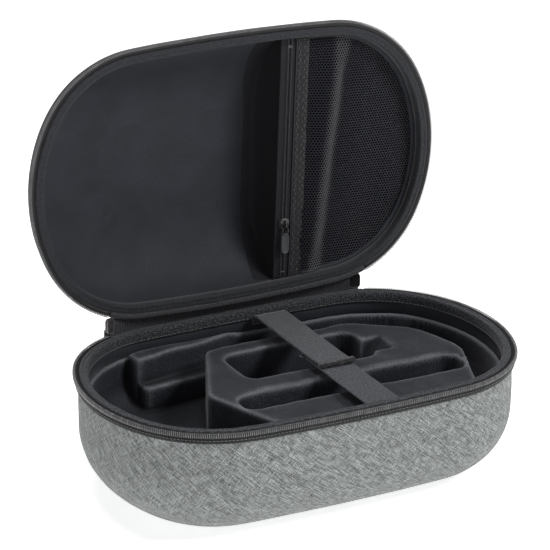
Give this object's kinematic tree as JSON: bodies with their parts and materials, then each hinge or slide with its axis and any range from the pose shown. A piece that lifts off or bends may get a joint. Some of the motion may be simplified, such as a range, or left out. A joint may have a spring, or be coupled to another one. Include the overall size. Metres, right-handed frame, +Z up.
{
  "type": "headphone carrying case",
  "caption": "Zipped hard-shell carrying case with a moulded insert, a hook-and-loop strap over it and a mesh pocket in the hinged lid.",
  "frame": {"origin": "centre of the flat bottom of the tub", "axes": "+X along the case, +Y towards the hinge, +Z up"},
  "size_m": [0.31, 0.2339, 0.2888],
  "materials": {
    "grey_fabric": "matte two-tone woven polyester",
    "foam": "moulded EVA foam, hidden",
    "lining": "smooth fine knit",
    "binding": "woven binding tape",
    "zip_tape": "woven zip tape",
    "zip_coil": "nylon coil",
    "gusset": "ribbed tape",
    "tray_knit": "fine knit over moulded foam",
    "elastic": "ribbed elastic",
    "loop_pile": "brushed loop pile",
    "hook_pile": "hook pile and stitched fold",
    "mesh": "air mesh",
    "hem": "stitched hem tape",
    "slider_metal": "black lacquer",
    "pull_rubber": "matte moulded pull"
  },
  "bodies": {
    "base": {"base_cover": "grey_fabric", "base_cover_bottom": "grey_fabric", "base_shell": "foam", "base_lining": "lining", "base_binding": "binding", "base_zip_tape": "zip_tape", "base_zip_coil": "zip_coil", "base_hinge_welt": "gusset", "insert_tray": "tray_knit", "hinge_gusset": "gusset", "strap_back_anchor": "loop_pile", "strap_front_anchor": "elastic", "left_slider_body": "slider_metal", "left_slider_bail": "slider_metal", "right_slider_body": "slider_metal", "right_slider_bail": "slider_metal"},
    "lid": {"lid_cover": "grey_fabric", "lid_shell": "foam", "lid_lining": "lining", "lid_binding": "binding", "lid_zip_tape": "zip_tape", "lid_zip_coil": "zip_coil", "lid_hinge_welt": "gusset", "pocket_zip_tape_left": "zip_tape", "pocket_zip_tape_right": "zip_tape", "pocket_hem_band": "hem", "pocket_mesh": "mesh", "pocket_zip_coil": "zip_coil", "pocket_zip_stop_top": "slider_metal", "pocket_zip_stop_bottom": "slider_metal", "pocket_side_wall": "lining"},
    "strap_back": {"strap_loop_webbing": "loop_pile", "strap_hook_patch": "hook_pile", "strap_end_fold": "hook_pile"},
    "strap_front": {"strap_elastic": "elastic", "strap_elastic_tip": "elastic"},
    "pocket_slider": {"pocket_slider_body": "slider_metal", "pocket_slider_bail": "slider_metal"},
    "pocket_pull": {"pocket_pull_ring": "slider_metal", "pocket_pull_tab": "pull_rubber"},
    "left_pull": {"left_slider_pull_loop": "slider_metal", "left_slider_pull_tab": "pull_rubber"},
    "right_pull": {"right_slider_pull_loop": "slider_metal", "right_slider_pull_tab": "pull_rubber"}
  },
  "joints": [
    {"name": "lid_hinge", "type": "hinge", "parent": "base", "child": "lid", "pos_m": [0, 0.0952, 0.0946], "axis": [-1, 0, 0], "range_deg": [-92, 18], "deforming": ["hinge_gusset"]},
    {"name": "strap_peel", "type": "hinge", "parent": "base", "child": "strap_back", "pos_m": [0.022, 0.085, 0.0814], "axis": [-1, 0, 0], "range_deg": [0, 70]},
    {"name": "strap_front_lift", "type": "hinge", "parent": "base", "child": "strap_front", "pos_m": [0.022, -0.085, 0.0794], "axis": [1, 0, 0], "range_deg": [0, 31.5]},
    {"name": "pocket_zip", "type": "slide", "parent": "lid", "child": "pocket_slider", "axis": [-0.0523, -0.0349, -0.998], "range_m": [-0.12, 0.016]},
    {"name": "pocket_pull_swing", "type": "hinge", "parent": "pocket_slider", "child": "pocket_pull", "pos_m": [0.03793, 0.09096, 0.14084], "axis": [-0.9986, 0.0018, 0.0523], "range_deg": [0, 140]},
    {"name": "left_pull_swing", "type": "hinge", "parent": "base", "child": "left_pull", "pos_m": [-0.09611, 0.09768, 0.091], "axis": [0.9554, 0.2953, 0], "range_deg": [0, 100]},
    {"name": "right_pull_swing", "type": "hinge", "parent": "base", "child": "right_pull", "pos_m": [0.09611, 0.09768, 0.091], "axis": [0.9554, -0.2953, 0], "range_deg": [0, 100]}
  ],
  "couplings": [
    {"joint": "strap_front_lift", "follows": "strap_peel", "ratio": 0.45}
  ]
}
